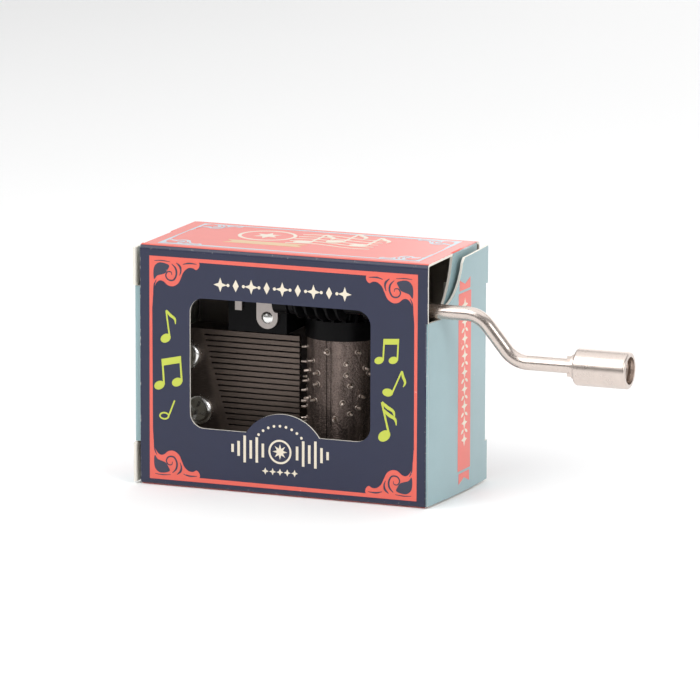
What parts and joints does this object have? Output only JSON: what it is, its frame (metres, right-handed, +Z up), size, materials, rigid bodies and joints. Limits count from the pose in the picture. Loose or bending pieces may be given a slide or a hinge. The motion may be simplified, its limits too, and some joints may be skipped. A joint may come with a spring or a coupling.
{
  "type": "hand-crank music box",
  "caption": "Hand-crank music movement in a folded card carton with a window: comb, pinned drum, worm drive and bent-wire crank with a spinning knob.",
  "frame": {"origin": "centre of the carton's bottom face", "axes": "+X towards the crank, -Y out of the window, +Z up as the carton stands"},
  "size_m": [0.0885, 0.0253, 0.042],
  "materials": {
    "printed_card": "satin varnished print on white board: navy front, coral top, pale blue ends",
    "zinc_casting": "dull die-cast zinc",
    "comb_steel": "ground spring steel, oil-darkened",
    "bright_steel": "zinc-plated steel",
    "lead": "dull lead solder",
    "damper_film": "thin translucent film",
    "black_plastic": "moulded black acetal",
    "nickel_plate": "bright nickel plate with a warm tint"
  },
  "bodies": {
    "carton": {"carton_sleeve": "printed_card", "base_frame": "zinc_casting", "comb": "comb_steel", "comb_screws": "bright_steel", "comb_weights": "lead", "comb_dampers": "damper_film", "bearing_block": "black_plastic", "block_screws": "bright_steel", "shaft_strap": "bright_steel", "strap_rivets": "bright_steel", "crank_bush": "black_plastic", "drum_arbor": "bright_steel"},
    "drum": {"drum_shell": "nickel_plate", "drum_wheel": "black_plastic", "drum_cap": "black_plastic"},
    "crank": {"crank_wire": "nickel_plate", "worm": "black_plastic"},
    "knob": {"crank_knob": "nickel_plate"},
    "right_end": {"right_end_panel": "printed_card", "right_tuck_flap": "printed_card"},
    "left_end": {"left_end_panel": "printed_card", "left_tuck_flap": "printed_card"},
    "right_top_flap": {"right_top_dust_flap": "printed_card"},
    "right_bottom_flap": {"right_bottom_dust_flap": "printed_card"},
    "left_top_flap": {"left_top_dust_flap": "printed_card"},
    "left_bottom_flap": {"left_bottom_dust_flap": "printed_card"}
  },
  "joints": [
    {"name": "crank_turn", "type": "hinge", "parent": "carton", "child": "crank", "pos_m": [0.02635, -0.0086, 0.03342], "axis": [1, 0, 0], "continuous": true},
    {"name": "drum_turn", "type": "hinge", "parent": "carton", "child": "drum", "pos_m": [0.00635, 0.00035, 0.03342], "axis": [0, 0, 1], "continuous": true},
    {"name": "knob_spin", "type": "hinge", "parent": "crank", "child": "knob", "pos_m": [0.05165, -0.0086, 0.02582], "axis": [1, 0, 0], "continuous": true},
    {"name": "right_end_fold", "type": "hinge", "parent": "carton", "child": "right_end", "pos_m": [0.0259, -0.01205, 0.021], "axis": [0, 0, -1], "range_deg": [0, 22]},
    {"name": "left_end_fold", "type": "hinge", "parent": "carton", "child": "left_end", "pos_m": [-0.0259, 0.01205, 0.021], "axis": [0, 0, -1], "range_deg": [0, 88]},
    {"name": "right_top_flap_fold", "type": "hinge", "parent": "carton", "child": "right_top_flap", "pos_m": [0.0259, 0, 0.04155], "axis": [0, 1, 0], "range_deg": [0, 35]},
    {"name": "right_bottom_flap_fold", "type": "hinge", "parent": "carton", "child": "right_bottom_flap", "pos_m": [0.0259, 0, 0.00045], "axis": [0, -1, 0], "range_deg": [0, 35]},
    {"name": "left_top_flap_fold", "type": "hinge", "parent": "carton", "child": "left_top_flap", "pos_m": [-0.0259, 0, 0.04155], "axis": [0, -1, 0], "range_deg": [0, 35]},
    {"name": "left_bottom_flap_fold", "type": "hinge", "parent": "carton", "child": "left_bottom_flap", "pos_m": [-0.0259, 0, 0.00045], "axis": [0, 1, 0], "range_deg": [0, 35]}
  ],
  "couplings": [
    {"joint": "drum_turn", "follows": "crank_turn", "ratio": -0.045455}
  ]
}
